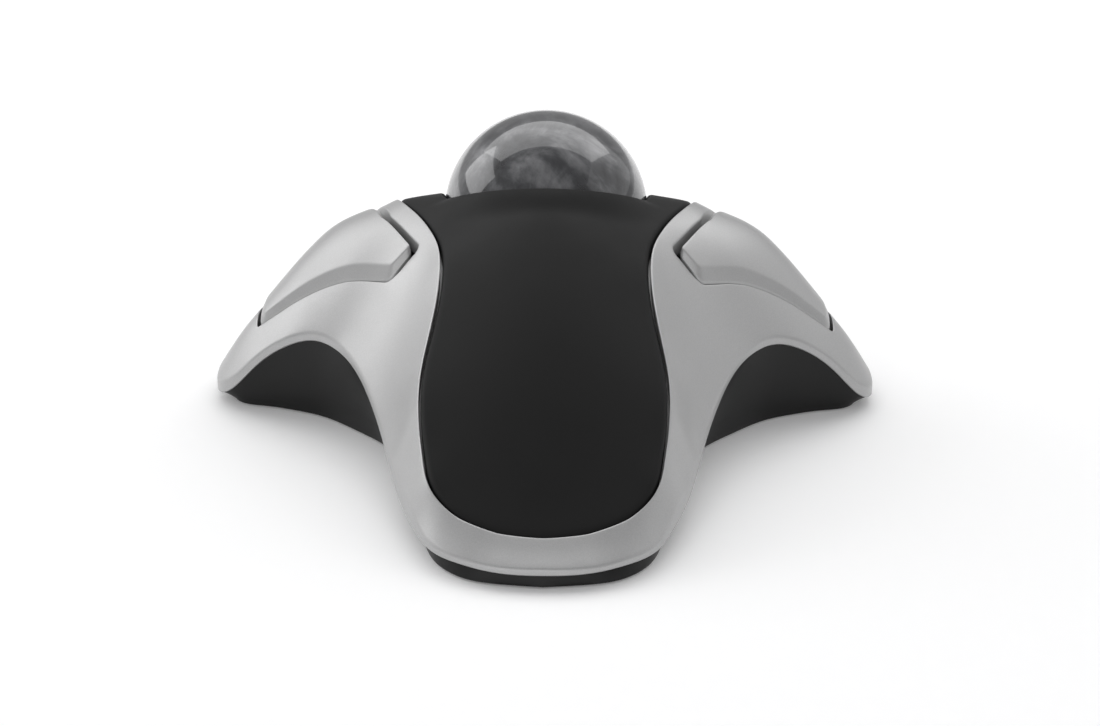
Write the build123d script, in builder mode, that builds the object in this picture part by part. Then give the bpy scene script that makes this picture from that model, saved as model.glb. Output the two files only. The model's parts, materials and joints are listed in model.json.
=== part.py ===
from build123d import *
import math
import os

import numpy as np

os.makedirs("parts", exist_ok=True)

# A finger-operated trackball: a horseshoe of silver plastic over a black base, a black palm
# cover down the middle, a 40 mm ball in a tilted rim and one large button on each wing.
# Frame: origin on the desk under the middle, +X to the right, +Y away from the user, +Z up.

# ---------------------------------------------------------------- driving dimensions, mm
BALL_RADIUS = 20.0
BALL_CENTRE = (0.0, 27.5, 37.0)
COAT_THICKNESS = 1.5
COAT_GAP = 0.3
RIM_TILT = 33.0
RIM_CUT_RADIUS = 21.4
CUP_INNER = 21.2
CUP_OUTER = 23.2
BEARING_RADIUS = 1.25
BEARING_GAP = 0.1
BEARING_DROP = 35.0
CUP_LIP_DROP = 2.0
CUP_LEG_TOP = 26.0
CUP_COVER_GAP = 0.3
CUP_HOLE_TOP = 18.0
BEARING_TURNS = (90, 210, 330)
BEARING_SEAT = 0.05
BEARING_RING = BALL_RADIUS + BEARING_GAP + BEARING_RADIUS
WINDOW_X = -2.5
WINDOW_SIZE = (13.0, 7.0, 12.0)
WINDOW_BOTTOM = 10.0

FOOT_HEIGHT = 1.0
FLOOR_THICKNESS = 2.0
FLOOR_TOP = FOOT_HEIGHT + FLOOR_THICKNESS
BASE_WALL = 2.2
BASE_INSET = 1.2
SHELL_WALL = 2.0
SHELL_DEPTH = 2.6
PARTING_GAP = 0.2
BLANK_TOP = 70.0
SURFACE_REACH = (70.0, 60.0)
SURFACE_GRID = (36, 31)
DEEP_CUT = 20.0
COVER_GAP = 0.5
COVER_DEPTH = 2.3
COVER_BACK = 55.4
COVER_TAIL_WALL = 1.8

BUTTON_RAISE = 2.0
BUTTON_SKIN = 1.6
BUTTON_SKIRT = 2.2
BUTTON_GAP = 0.5
BUTTON_SWEEP = 1.1
BUTTON_CORNER = 0.9
BUTTON_FADE_FROM = 70.0
BUTTON_FADE_OVER = 26.0
HINGE_X = 51.0
HINGE_Z = 11.5
HINGE_FRONT = 16.0
HINGE_BACK = 31.0
HINGE_MIDDLE = (HINGE_FRONT + HINGE_BACK) / 2
PIN_RADIUS = 1.0
PIN_CLEARANCE = 0.05
LUG_RADIUS = 2.5
LUG_THICKNESS = 2.5
BUTTON_LUG_THICKNESS = 2.4
BUTTON_LUG_WIDTH = 3.4
BUTTON_LUG_SETBACK = 4.0
PIN_CHAMFER = 0.2
STEM_WIDTH = 4.0
STEM_RIB = 1.2
STEM_RADIUS = 1.3

SWITCH_X = 34.0
SWITCH_Y = 20.0
SWITCH_SIZE = (5.8, 12.8, 6.5)
PLUNGER_Y = 18.0
PLUNGER_RISE = 0.7
PLUNGER_GAP = 0.1
PLUNGER_SIDE_GAP = 0.1
PLUNGER_WIDTH = 1.8
PLUNGER_LENGTH = 2.6
PLUNGER_DEPTH = 2.2
PLUNGER_FLOAT = 0.8
PLUNGER_FILLET = 0.3
CASE_CHAMFER = 0.4
TERMINAL_RADIUS = 0.45
TERMINAL_LENGTH = 4.0
TERMINAL_PITCH = 5.08
BOARD_THICKNESS = 1.6
BOARD_CORNER = 1.0
SWITCH_BOARD_SIZE = (11.0, 22.0)
SWITCH_BOARD_Z = 17.0
SWITCH_BOARD_TOP = SWITCH_BOARD_Z + BOARD_THICKNESS
MAIN_BOARD_Z = 5.4
MAIN_BOARD_HALF = 12.0
MAIN_BOARD_CORNER = 1.5
MAIN_BOARD_Y = (-4.0, 46.0)
BOARD_TOP = MAIN_BOARD_Z + BOARD_THICKNESS
BOARD_MIDDLE = sum(MAIN_BOARD_Y) / 2
SENSOR_SIZE = (9.0, 11.0, 2.0)
LENS_PLATE = (11.0, 16.0, 1.4)
LENS_RADIUS = 2.6
LENS_HEIGHT = 4.0
LENS_FILLET = 1.0
LED_RADIUS = 1.5
LED_LENGTH = 4.0
LED_DOME = 1.2
LED_BASE = (-11.0, 2.2)
LED_SPOT_X = -1.0
CLIP_X = -9.6
CLIP_SIZE = (4.4, 6.4, 4.6)
CLIP_GAP = 0.05
CONTROLLER_PLACE = (-5.0, 7.0)
CONTROLLER_SIZE = (7.0, 7.0, 1.4)
CHIP_CHAMFER = 0.3
CRYSTAL_PLACE = (6.5, 6.0)
CRYSTAL_SIZE = (10.0, 4.0, 3.4)
CAPACITOR_PLACE = (3.5, 15.5)
CAPACITOR_SIZE = (2.0, 5.0)
CAPACITOR_FILLET = 0.4
HEADER_Y = 41.0
HEADER_SIZE = (11.0, 5.0, 5.5)
HEADER_WELL = (9.0, 3.0, 8.0)
HEADER_WELL_Y = 41.6

SCREW_RADIUS = 1.2
SCREW_HEAD_RADIUS = 2.2
SCREW_HEAD_HEIGHT = 1.8
BOARD_SCREW_HEAD = (2.0, 1.4)
SLOT_SIZE = (2.6, 0.6, 1.6)
BOARD_SLOT_SIZE = (2.4, 0.6, 1.4)
SCREW_HOLE = 0.3
SCREW_BITE = 0.05
BOARD_HOLE = 0.1
BOSS_RADIUS = 3.2
BOSS_ROOT = 1.0
CUP_LEG_RADIUS = 2.8
BOARD_POST_RADIUS = 2.4
FLOOR_ROOT = 0.5
COUNTERBORE_DEPTH = FLOOR_TOP + SCREW_HEAD_HEIGHT
CASE_SCREW_TOP = 18.0
COVER_SCREW_TOP = 16.0
CUP_SCREW_TOP = 15.0
MAIN_SCREW_DEPTH = 3.6
SWITCH_SCREW_DEPTH = 6.0

CABLE_RADIUS = 1.9
CABLE_Z = 7.0
GROMMET_RADIUS = 3.2
GROMMET_FLANGE = 3.9
GROMMET_INSIDE = 50.6
WALL_INSIDE = 52.2
WALL_OUTSIDE = 54.9
GROMMET_OUTSIDE = 56.0
GROMMET_NOSE = 3.0
GROMMET_CUT = (54.0, 12.0)

# Lower edge of the silver shell, right half from nose to rear: x, y, z and lip height.
SILVER_EDGE = [
    (0.0, -56.0, 2.7, 1.5), (8.0, -55.3, 2.8, 1.5), (15.0, -52.4, 3.0, 1.6),
    (20.3, -47.8, 3.1, 1.8), (23.0, -42.5, 3.7, 1.9), (26.4, -33.0, 5.1, 1.9),
    (28.7, -24.0, 7.3, 1.9), (31.2, -14.0, 10.4, 1.9), (33.5, -7.5, 13.3, 1.8),
    (36.5, -1.0, 15.9, 1.6), (40.0, 4.2, 17.2, 1.4), (45.0, 8.4, 17.4, 1.6),
    (50.5, 10.8, 15.0, 2.0), (57.0, 12.6, 9.6, 2.2), (61.5, 13.6, 4.6, 2.2),
    (64.6, 16.3, 2.2, 2.4), (65.4, 21.0, 1.9, 2.6), (63.8, 28.0, 2.0, 2.6),
    (59.5, 35.5, 2.5, 2.6), (51.0, 43.0, 3.0, 2.6), (38.0, 49.8, 4.0, 2.6),
    (20.0, 54.4, 8.0, 2.6), (0.0, 56.0, 11.0, 2.6),
]

# Inner edge of the silver shell, right half from nose to tail.
PANEL_EDGE = [
    (0.0, -50.3, 7.3), (8.0, -49.3, 7.5), (15.2, -46.3, 9.1), (18.85, -42.9, 11.0),
    (20.7, -40.0, 13.5), (21.9, -35.2, 16.0), (22.9, -27.0, 22.0), (22.7, -21.0, 25.7),
    (21.4, -14.2, 30.0), (20.2, -7.6, 34.2), (19.8, -0.5, 38.0), (20.5, 6.0, 39.3),
    (22.2, 11.6, 40.0), (26.0, 20.5, 40.2), (28.7, 27.0, 39.6), (29.2, 34.0, 36.0),
    (26.5, 42.0, 29.5), (20.5, 49.5, 21.0), (15.0, 54.8, 13.8),
]

# Points that the silver wing passes through, right side.
WING_POINTS = [
    (28.0, 0.0, 28.0), (25.6, -27.0, 15.5), (38.0, 13.0, 29.8), (27.0, -12.0, 22.0),
    (34.0, 26.5, 36.8), (40.6, 26.0, 32.5), (44.7, 26.0, 28.7), (48.7, 25.0, 25.4),
    (54.0, 24.0, 19.8), (58.8, 22.0, 15.0), (61.6, 21.0, 11.5), (50.0, 34.0, 18.5),
    (40.0, 38.0, 24.5), (33.0, 40.0, 27.5), (45.0, 15.5, 25.3), (52.0, 17.0, 19.5),
]

# Points that the palm cover passes through, down the middle and beside the ball.
SPINE_POINTS = [
    (0.0, -40.0, 16.6), (0.0, -30.0, 25.2), (0.0, -20.0, 32.6), (0.0, -10.0, 38.8),
    (0.0, 0.0, 43.9), (0.0, 8.0, 47.3), (0.0, 18.0, 46.5), (0.0, 30.0, 42.0),
    (0.0, 40.0, 35.5), (0.0, 47.0, 28.5), (0.0, 52.0, 20.5), (0.0, 56.0, 13.6),
    (20.5, 27.5, 41.0),
]

# Right button in plan: the inner tip, the front edge to its outer corner, then back round.
BUTTON_TIP = (25.4, 8.8)
BUTTON_FRONT = [
    (29.6, 6.9), (32.8, 9.1), (37.8, 12.0), (46.0, 15.4), (52.0, 17.1), (56.2, 18.0),
]
BUTTON_REAR = [
    (56.2, 21.8), (54.5, 28.5), (47.0, 33.5), (39.0, 35.0), (33.8, 30.5), (31.7, 21.0),
]

CASE_SCREWS = [(26.5, 0.5), (-26.5, 0.5), (37.0, 40.0), (-37.0, 40.0)]
COVER_SCREWS = [(11.0, -30.0), (-11.0, -30.0), (11.0, -12.0), (-11.0, -12.0)]
CUP_SCREWS = [(15.5, 18.0), (-15.5, 18.0), (15.5, 37.0), (-15.5, 37.0)]
MAIN_BOARD_SCREWS = [(9.5, -2.0), (-9.5, -2.0), (9.5, 44.0), (-9.5, 44.0)]
SWITCH_BOARD_SCREWS = [(34.0, 11.5), (34.0, 28.5), (-34.0, 11.5), (-34.0, 28.5)]
FEET = [(12.0, -42.0), (-12.0, -42.0), (53.0, 24.0), (-53.0, 24.0), (0.0, 45.0)]
FOOT_RADIUS = 5.0
FOOT_THICKNESS = 1.4
FOOT_GAP = 0.1
FOOT_CHAMFER = 0.25
CASE_BOSS_TOP = 10.0
COVER_BOSS_TOP = 9.0
CUP_BOSS_TOP = 8.0

# Collar round the ball: distance from the rim's axis, height above the ball's centre.
RIM_PROFILE = [
    (20.5, -9.0), (20.5, 0.2), (20.8, 0.8), (21.5, 1.1), (22.3, 0.7), (23.2, -1.0),
    (24.0, -3.2), (24.0, -9.0), (20.5, -9.0),
]

BOTTOM = (Align.CENTER, Align.CENTER, Align.MIN)
TOP = (Align.CENTER, Align.CENTER, Align.MAX)

RIM_PLANE = Plane(
    origin=BALL_CENTRE,
    x_dir=(1, 0, 0),
    z_dir=(0, math.sin(math.radians(RIM_TILT)), math.cos(math.radians(RIM_TILT))),
)


# ---------------------------------------------------------------- surfaces and outlines
def thin_plate(points, softness=20.0):
    """Height z(x, y) of a soft thin plate laid over points, the same on the left and right."""
    knots = np.array(points + [(-x, y, z) for x, y, z in points if x > 0])
    count = len(knots)

    def bend(ax, ay):
        squared = (ax - knots[:, 0]) ** 2 + (ay - knots[:, 1]) ** 2
        return 0.5 * squared * np.log(np.maximum(squared, 1e-12))

    system = np.zeros((count + 3, count + 3))
    for row, (x, y, _) in enumerate(knots):
        system[row, :count] = bend(x, y)
        system[row, row] += softness
        system[row, count:] = (1, x, y)
    system[count:, :count] = system[:count, count:].T
    weights = np.linalg.solve(system, np.append(knots[:, 2], [0, 0, 0]))

    def height(x, y):
        return float(bend(x, y) @ weights[:count] + weights[count:] @ (1, x, y))

    return height


silver_height = thin_plate(
    [(x, y, z + lip) for x, y, z, lip in SILVER_EDGE] + PANEL_EDGE + WING_POINTS
)
cover_height = thin_plate(PANEL_EDGE + SPINE_POINTS)
parting_height = thin_plate([(x, y, z) for x, y, z, _ in SILVER_EDGE])


def button_height(x, y):
    """Top of a button: proud of the wing, less so towards the outer end."""
    fade = min(1.0, (BUTTON_FADE_FROM - abs(x)) / BUTTON_FADE_OVER)
    return silver_height(x, y) + BUTTON_RAISE * fade


def below(height, lift=0.0):
    """Everything under a height surface, down past the desk."""
    across = np.linspace(-SURFACE_REACH[0], SURFACE_REACH[0], SURFACE_GRID[0])
    along = np.linspace(-SURFACE_REACH[1], SURFACE_REACH[1], SURFACE_GRID[1])
    rows = [[Vector(x, y, height(x, y) + lift) for y in along] for x in across]
    face = Face.make_surface_from_array_of_points(rows)
    with BuildPart() as ground:
        extrude(to_extrude=face, amount=2 * BLANK_TOP, dir=(0, 0, -1))
    return ground.part


def ring_of(half):
    """A closed ring of plan points from its right half, front centre to rear centre."""
    right = [(point[0], point[1]) for point in half]
    return right + [(-x, y) for x, y in reversed(right[1:-1])]


def arch_of(half):
    """An open row of plan points from the left tail round the nose to the right tail."""
    right = [(point[0], point[1]) for point in half]
    return [(-x, y) for x, y in reversed(right[1:])] + right


def inset(points, distance, closed=True):
    """Move each point to the left of the direction of travel, which is inwards here."""
    count = len(points)
    normals = []
    for (x0, y0), (x1, y1) in zip(points, points[1:] + points[:1]):
        length = math.hypot(x1 - x0, y1 - y0)
        normals.append(((y0 - y1) / length, (x1 - x0) / length))
    moved = []
    for index, (x, y) in enumerate(points):
        before = normals[index - 1] if closed or index > 0 else normals[index]
        after = normals[index] if closed or index < count - 1 else normals[index - 1]
        stretch = distance / (1 + before[0] * after[0] + before[1] * after[1])
        moved.append((x + stretch * (before[0] + after[0]), y + stretch * (before[1] + after[1])))
    return moved


def closed_outline(points, z=0.0):
    with BuildSketch(Plane.XY.offset(z)) as outline:
        with BuildLine():
            Spline(*points, periodic=True)
        make_face()
    return outline.sketch


def horseshoe_outline(points, back):
    """The palm cover's outline: a curve round the nose, closed straight across the tail."""
    with BuildSketch() as outline:
        with BuildLine():
            Spline(*points)
            Polyline(points[-1], (points[-1][0], back), (points[0][0], back), points[0])
        make_face()
    return outline.sketch


def button_outline(grow=0.0):
    tip, *ring = inset([BUTTON_TIP] + BUTTON_FRONT + BUTTON_REAR, -grow)
    corner = len(BUTTON_FRONT) - 1
    with BuildSketch() as outline:
        with BuildLine():
            Polyline(ring[-1], tip, ring[0])
            Spline(*ring[:corner + 1])
            Spline(*ring[corner:])
        make_face()
        fillet(outline.vertices(), BUTTON_CORNER)
    return outline.sketch


def button_windows():
    """Both windows in the wings: the button, its gap and its sideways sweep when pressed."""
    with BuildSketch() as windows:
        add(button_outline(BUTTON_GAP))
        with Locations((-BUTTON_SWEEP, 0)):
            add(button_outline(BUTTON_GAP))
        mirror(about=Plane.YZ)
    return windows.sketch


silver_top = below(silver_height)
silver_ceiling = below(silver_height, -SHELL_DEPTH)
cover_top = below(cover_height)
cover_ceiling = below(cover_height, -COVER_DEPTH)


def below_silver_inside(outline):
    """The hollow of the silver shell inside an outline."""
    with BuildPart() as hollow:
        extrude(outline, amount=BLANK_TOP)
        add(silver_ceiling, mode=Mode.INTERSECT)
    return hollow.part


def posts(places, radius, bottom, ceiling):
    """Round posts from a level up to a curved ceiling."""
    with BuildPart() as group:
        with Locations(*[(x, y, bottom) for x, y in places]):
            Cylinder(radius, BLANK_TOP, align=BOTTOM)
        add(ceiling, mode=Mode.INTERSECT)
    return group.part


def rim_bead():
    """The raised collar of the palm cover round the ball, down to the cover's underside."""
    with BuildPart() as bead:
        with BuildSketch(RIM_PLANE.rotated((90, 0, 0))):
            with BuildLine():
                Polyline(*RIM_PROFILE)
            make_face()
        revolve(axis=Axis(BALL_CENTRE, tuple(RIM_PLANE.z_dir)))
        add(cover_ceiling, mode=Mode.SUBTRACT)
    return bead.part


edge_ring = ring_of(SILVER_EDGE)
panel_arch = arch_of(PANEL_EDGE)


def cover_blank():
    """Everything under the palm cover's outline."""
    arch = inset(panel_arch, COVER_GAP, closed=False)
    with BuildPart() as blank:
        extrude(horseshoe_outline(arch, COVER_BACK), amount=BLANK_TOP)
    return blank.part


def cover_tail():
    """The wall that closes the palm cover's tail down to the base."""
    with BuildPart() as tail:
        add(cover_blank())
        with Locations((0, COVER_BACK, 0)):
            Box(2 * BLANK_TOP, 2 * COVER_TAIL_WALL, BLANK_TOP, align=BOTTOM, mode=Mode.INTERSECT)
        add(below(cover_height, -BOSS_ROOT), mode=Mode.INTERSECT)
        add(below(parting_height, PARTING_GAP), mode=Mode.SUBTRACT)
    return tail.part


# ---------------------------------------------------------------- casing
with BuildPart() as base_shell:
    extrude(closed_outline(inset(edge_ring, BASE_INSET), FOOT_HEIGHT), amount=BLANK_TOP)
    add(below(parting_height, -PARTING_GAP), mode=Mode.INTERSECT)
    extrude(closed_outline(inset(edge_ring, BASE_INSET + BASE_WALL), FLOOR_TOP),
            amount=BLANK_TOP, mode=Mode.SUBTRACT)
    for places, boss_top in ((CASE_SCREWS, CASE_BOSS_TOP), (COVER_SCREWS, COVER_BOSS_TOP),
                             (CUP_SCREWS, CUP_BOSS_TOP)):
        with Locations(*[(x, y, FOOT_HEIGHT) for x, y in places]):
            Cylinder(BOSS_RADIUS, boss_top - FOOT_HEIGHT, align=BOTTOM)
        with Locations(*[(x, y, 0) for x, y in places]):
            Cylinder(SCREW_HEAD_RADIUS + SCREW_HOLE, COUNTERBORE_DEPTH, align=BOTTOM,
                     mode=Mode.SUBTRACT)
            Cylinder(SCREW_RADIUS + SCREW_HOLE, boss_top + 1, align=BOTTOM, mode=Mode.SUBTRACT)
    root = FLOOR_TOP - FLOOR_ROOT
    with Locations(*[(x, y, root) for x, y in MAIN_BOARD_SCREWS]):
        Cylinder(BOARD_POST_RADIUS, MAIN_BOARD_Z - root, align=BOTTOM)
    with Locations(*[(x, y, root) for x, y in SWITCH_BOARD_SCREWS]):
        Cylinder(BOARD_POST_RADIUS, SWITCH_BOARD_Z - root, align=BOTTOM)
    with Locations(*[(x, y, FLOOR_TOP) for x, y in MAIN_BOARD_SCREWS + SWITCH_BOARD_SCREWS]):
        Cylinder(SCREW_RADIUS + SCREW_BITE, DEEP_CUT, align=BOTTOM, mode=Mode.SUBTRACT)
    for x in (HINGE_X, -HINGE_X):
        for y in (HINGE_FRONT + LUG_THICKNESS / 2, HINGE_BACK - LUG_THICKNESS / 2):
            with Locations((x, y, root)):
                Box(2 * LUG_RADIUS, LUG_THICKNESS, HINGE_Z - root, align=BOTTOM)
            with Locations(Location((x, y, HINGE_Z), (90, 0, 0))):
                Cylinder(LUG_RADIUS, LUG_THICKNESS)
        with Locations(Location((x, HINGE_MIDDLE, HINGE_Z), (90, 0, 0))):
            Cylinder(PIN_RADIUS, HINGE_BACK - HINGE_FRONT + 2, mode=Mode.SUBTRACT)
    with Locations(*[(x, y, 0) for x, y in FEET]):
        Cylinder(FOOT_RADIUS + FOOT_GAP, FOOT_THICKNESS, align=BOTTOM, mode=Mode.SUBTRACT)
    with Locations(Location((0, GROMMET_CUT[0], CABLE_Z), (90, 0, 0))):
        Cylinder(GROMMET_RADIUS, GROMMET_CUT[1], mode=Mode.SUBTRACT)
base_shell.part.label = "base_shell"
export_step(base_shell.part, "parts/base_shell.step")


with BuildPart() as upper_shell:
    extrude(closed_outline(edge_ring), amount=BLANK_TOP)
    add(silver_top, mode=Mode.INTERSECT)
    add(below_silver_inside(closed_outline(inset(edge_ring, SHELL_WALL))), mode=Mode.SUBTRACT)
    extrude(horseshoe_outline(panel_arch, BLANK_TOP), amount=BLANK_TOP, mode=Mode.SUBTRACT)
    extrude(button_windows(), amount=BLANK_TOP, mode=Mode.SUBTRACT)
    add(below(parting_height), mode=Mode.SUBTRACT)
    add(posts(CASE_SCREWS, BOSS_RADIUS, CASE_BOSS_TOP, below(silver_height, -BOSS_ROOT)))
    with Locations(*[(x, y, 0) for x, y in CASE_SCREWS]):
        Cylinder(SCREW_RADIUS + SCREW_BITE, DEEP_CUT, align=BOTTOM, mode=Mode.SUBTRACT)
upper_shell.part.label = "upper_shell"
export_step(upper_shell.part, "parts/upper_shell.step")


with BuildPart() as palm_cover:
    add(cover_blank())
    add(cover_top, mode=Mode.INTERSECT)
    add(cover_ceiling, mode=Mode.SUBTRACT)
    add(cover_tail())
    with Locations(RIM_PLANE.location):
        Cylinder(RIM_CUT_RADIUS, BLANK_TOP, mode=Mode.SUBTRACT)
    add(rim_bead())
    add(posts(COVER_SCREWS, BOSS_RADIUS, COVER_BOSS_TOP, below(cover_height, -BOSS_ROOT)))
    with Locations(*[(x, y, 0) for x, y in COVER_SCREWS]):
        Cylinder(SCREW_RADIUS + SCREW_BITE, DEEP_CUT, align=BOTTOM, mode=Mode.SUBTRACT)
palm_cover.part.label = "palm_cover"
export_step(palm_cover.part, "parts/palm_cover.step")


# ---------------------------------------------------------------- ball and its cup
bearing_plane = RIM_PLANE.offset(-BEARING_RING * math.sin(math.radians(BEARING_DROP)))
bearing_circle = BEARING_RING * math.cos(math.radians(BEARING_DROP))

with BuildPart() as ball_cup:
    with Locations(BALL_CENTRE):
        Sphere(CUP_OUTER)
    with Locations(RIM_PLANE.offset(-CUP_LIP_DROP).location):
        Box(4 * CUP_OUTER, 4 * CUP_OUTER, 2 * CUP_OUTER, align=BOTTOM, mode=Mode.SUBTRACT)
    add(below(cover_height, -COVER_DEPTH - CUP_COVER_GAP), mode=Mode.INTERSECT)
    with Locations(*[(x, y, CUP_BOSS_TOP) for x, y in CUP_SCREWS]):
        Cylinder(CUP_LEG_RADIUS, CUP_LEG_TOP - CUP_BOSS_TOP, align=BOTTOM)
    with Locations(BALL_CENTRE):
        Sphere(CUP_INNER, mode=Mode.SUBTRACT)
    with Locations(bearing_plane.location):
        with PolarLocations(bearing_circle, len(BEARING_TURNS), start_angle=BEARING_TURNS[0]):
            Sphere(BEARING_RADIUS + BEARING_SEAT, mode=Mode.SUBTRACT)
    with Locations((WINDOW_X, BALL_CENTRE[1], WINDOW_BOTTOM)):
        Box(*WINDOW_SIZE, align=BOTTOM, mode=Mode.SUBTRACT)
    with Locations(*[(x, y, 0) for x, y in CUP_SCREWS]):
        Cylinder(SCREW_RADIUS + SCREW_BITE, CUP_HOLE_TOP, align=BOTTOM, mode=Mode.SUBTRACT)
ball_cup.part.label = "ball_cup"
export_step(ball_cup.part, "parts/ball_cup.step")

for number, turn in enumerate(BEARING_TURNS, start=1):
    with BuildPart() as bearing:
        with Locations(bearing_plane.location):
            with PolarLocations(bearing_circle, 1, start_angle=turn):
                Sphere(BEARING_RADIUS)
    bearing.part.label = f"support_bearing_{number}"
    export_step(bearing.part, f"parts/support_bearing_{number}.step")

with BuildPart() as ball_core:
    with Locations(BALL_CENTRE):
        Sphere(BALL_RADIUS - COAT_THICKNESS - COAT_GAP)
ball_core.part.label = "ball_core"
export_step(ball_core.part, "parts/ball_core.step")

with BuildPart() as ball_coat:
    with Locations(BALL_CENTRE):
        Sphere(BALL_RADIUS)
        Sphere(BALL_RADIUS - COAT_THICKNESS, mode=Mode.SUBTRACT)
ball_coat.part.label = "ball_coat"
export_step(ball_coat.part, "parts/ball_coat.step")


# ---------------------------------------------------------------- buttons, hinges, switches
def hinge_lugs():
    """Two lugs that hang from the right button's outer end onto its hinge pin."""
    with BuildPart() as lugs:
        for y in (HINGE_FRONT + BUTTON_LUG_SETBACK, HINGE_BACK - BUTTON_LUG_SETBACK):
            with Locations((HINGE_X, y, HINGE_Z)):
                Box(BUTTON_LUG_WIDTH, BUTTON_LUG_THICKNESS, BLANK_TOP, align=BOTTOM)
            with Locations(Location((HINGE_X, y, HINGE_Z), (90, 0, 0))):
                Cylinder(LUG_RADIUS, BUTTON_LUG_THICKNESS)
        add(below(button_height, -BOSS_ROOT), mode=Mode.INTERSECT)
    return lugs.part


def button_hollow():
    with BuildPart() as hollow:
        extrude(button_outline(-BUTTON_SKIN), amount=BLANK_TOP)
        add(below(button_height, -BUTTON_SKIN), mode=Mode.INTERSECT)
    return hollow.part


def press_stem():
    """A cross-shaped rib under the button's inner end that meets the switch plunger."""
    foot = SWITCH_BOARD_TOP + SWITCH_SIZE[2] + PLUNGER_RISE + PLUNGER_GAP
    with BuildPart() as stem:
        with Locations((SWITCH_X, PLUNGER_Y, foot)):
            Box(STEM_WIDTH, STEM_RIB, BLANK_TOP, align=BOTTOM)
            Box(STEM_RIB, STEM_WIDTH, BLANK_TOP, align=BOTTOM)
            Cylinder(STEM_RADIUS, BLANK_TOP, align=BOTTOM)
        add(below(button_height, -BOSS_ROOT), mode=Mode.INTERSECT)
    return stem.part


with BuildPart() as right_button:
    extrude(button_outline(), amount=BLANK_TOP)
    add(below(button_height), mode=Mode.INTERSECT)
    add(below(silver_height, -BUTTON_SKIRT), mode=Mode.SUBTRACT)
    add(button_hollow(), mode=Mode.SUBTRACT)
    add(hinge_lugs())
    add(press_stem())
    with Locations(Location((HINGE_X, HINGE_MIDDLE, HINGE_Z), (90, 0, 0))):
        Cylinder(PIN_RADIUS + PIN_CLEARANCE, DEEP_CUT, mode=Mode.SUBTRACT)
right_button.part.label = "right_button"
export_step(right_button.part, "parts/right_button.step")

with BuildPart() as left_button:
    add(right_button.part)
    mirror(about=Plane.YZ, mode=Mode.REPLACE)
left_button.part.label = "left_button"
export_step(left_button.part, "parts/left_button.step")


def hinge_pin(side):
    with BuildPart() as pin:
        with Locations(Location((side * HINGE_X, HINGE_MIDDLE, HINGE_Z), (90, 0, 0))):
            Cylinder(PIN_RADIUS, HINGE_BACK - HINGE_FRONT)
        chamfer(pin.edges().filter_by(GeomType.CIRCLE), PIN_CHAMFER)
    return pin.part


def switch_board(side):
    holes = [(x, y) for x, y in SWITCH_BOARD_SCREWS if x * side > 0]
    with BuildPart() as board:
        with Locations((side * SWITCH_X, SWITCH_Y, SWITCH_BOARD_Z)):
            Box(*SWITCH_BOARD_SIZE, BOARD_THICKNESS, align=BOTTOM)
        fillet(board.edges().filter_by(Axis.Z), BOARD_CORNER)
        with Locations(*[(x, y, SWITCH_BOARD_Z) for x, y in holes]):
            Cylinder(SCREW_RADIUS + BOARD_HOLE, DEEP_CUT, mode=Mode.SUBTRACT)
        with Locations(*terminal_places(side)):
            Cylinder(TERMINAL_RADIUS + BOARD_HOLE, DEEP_CUT, mode=Mode.SUBTRACT)
    return board.part


def terminal_places(side):
    rows = (-TERMINAL_PITCH, 0, TERMINAL_PITCH)
    return [(side * SWITCH_X, SWITCH_Y + row, SWITCH_BOARD_TOP) for row in rows]


def switch_terminals(side):
    with BuildPart() as terminals:
        with Locations(*terminal_places(side)):
            Cylinder(TERMINAL_RADIUS, TERMINAL_LENGTH, align=TOP)
    return terminals.part


def switch_case(side):
    with BuildPart() as case:
        with Locations((side * SWITCH_X, SWITCH_Y, SWITCH_BOARD_TOP)):
            Box(*SWITCH_SIZE, align=BOTTOM)
        chamfer(case.faces().sort_by(Axis.Z)[-1].edges(), CASE_CHAMFER)
        with Locations((side * SWITCH_X, PLUNGER_Y, SWITCH_BOARD_TOP + SWITCH_SIZE[2])):
            Box(PLUNGER_WIDTH + 2 * PLUNGER_SIDE_GAP, PLUNGER_LENGTH + 2 * PLUNGER_SIDE_GAP,
                2 * PLUNGER_DEPTH, mode=Mode.SUBTRACT)
    return case.part


def switch_plunger(side):
    top = SWITCH_BOARD_TOP + SWITCH_SIZE[2]
    with BuildPart() as plunger:
        with Locations((side * SWITCH_X, PLUNGER_Y, top - PLUNGER_DEPTH + PLUNGER_FLOAT)):
            Box(PLUNGER_WIDTH, PLUNGER_LENGTH, PLUNGER_DEPTH - PLUNGER_FLOAT + PLUNGER_RISE,
                align=BOTTOM)
        fillet(plunger.faces().sort_by(Axis.Z)[-1].edges(), PLUNGER_FILLET)
    return plunger.part


for side, word in ((-1, "left"), (1, "right")):
    for make, noun in ((hinge_pin, "hinge_pin"), (switch_board, "switch_board"),
                       (switch_terminals, "switch_terminals"), (switch_case, "switch_case"),
                       (switch_plunger, "switch_plunger")):
        with BuildPart() as piece:
            add(make(side))
        piece.part.label = f"{word}_{noun}"
        export_step(piece.part, f"parts/{word}_{noun}.step")


# ---------------------------------------------------------------- main board and optics
with BuildPart() as main_board:
    with Locations((0, BOARD_MIDDLE, MAIN_BOARD_Z)):
        Box(2 * MAIN_BOARD_HALF, MAIN_BOARD_Y[1] - MAIN_BOARD_Y[0], BOARD_THICKNESS, align=BOTTOM)
    fillet(main_board.edges().filter_by(Axis.Z), MAIN_BOARD_CORNER)
    with Locations(*[(x, y, MAIN_BOARD_Z) for x, y in MAIN_BOARD_SCREWS]):
        Cylinder(SCREW_RADIUS + BOARD_HOLE, DEEP_CUT, mode=Mode.SUBTRACT)
main_board.part.label = "main_board"
export_step(main_board.part, "parts/main_board.step")

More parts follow.
